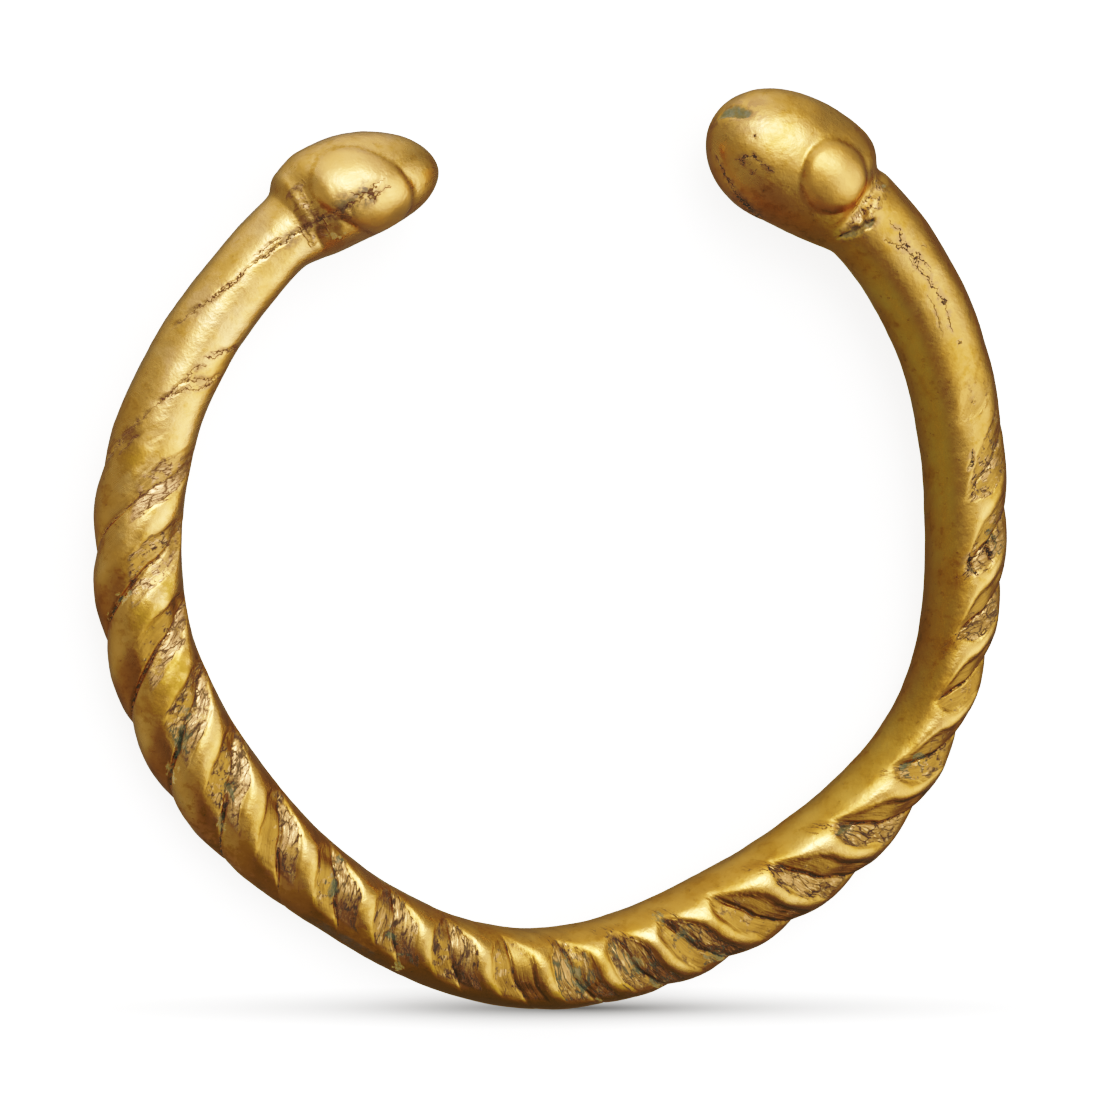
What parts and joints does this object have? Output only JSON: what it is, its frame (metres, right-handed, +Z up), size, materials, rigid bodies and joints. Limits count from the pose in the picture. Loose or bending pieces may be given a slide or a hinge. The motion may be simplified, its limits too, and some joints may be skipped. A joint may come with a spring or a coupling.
{
  "type": "twisted arm ring",
  "caption": "Open arm ring of one cast rod, wound with flutes round its foot, plain on both arms, with a beast's head at each end; it lies on its side.",
  "frame": {"origin": "middle of the footprint at the surface that the ring lies on", "axes": "+Z up from the surface, through the ring's opening; +Y from the ring's foot towards the gap between its heads; +X towards the arm with the larger head"},
  "size_m": [0.079, 0.0766, 0.0117],
  "materials": {
    "gilt_bronze": "worn gilding over cast bronze, with copper-brown and green patches in the flutes"
  },
  "bodies": {
    "root": {"arm_ring": "gilt_bronze"}
  },
  "joints": []
}
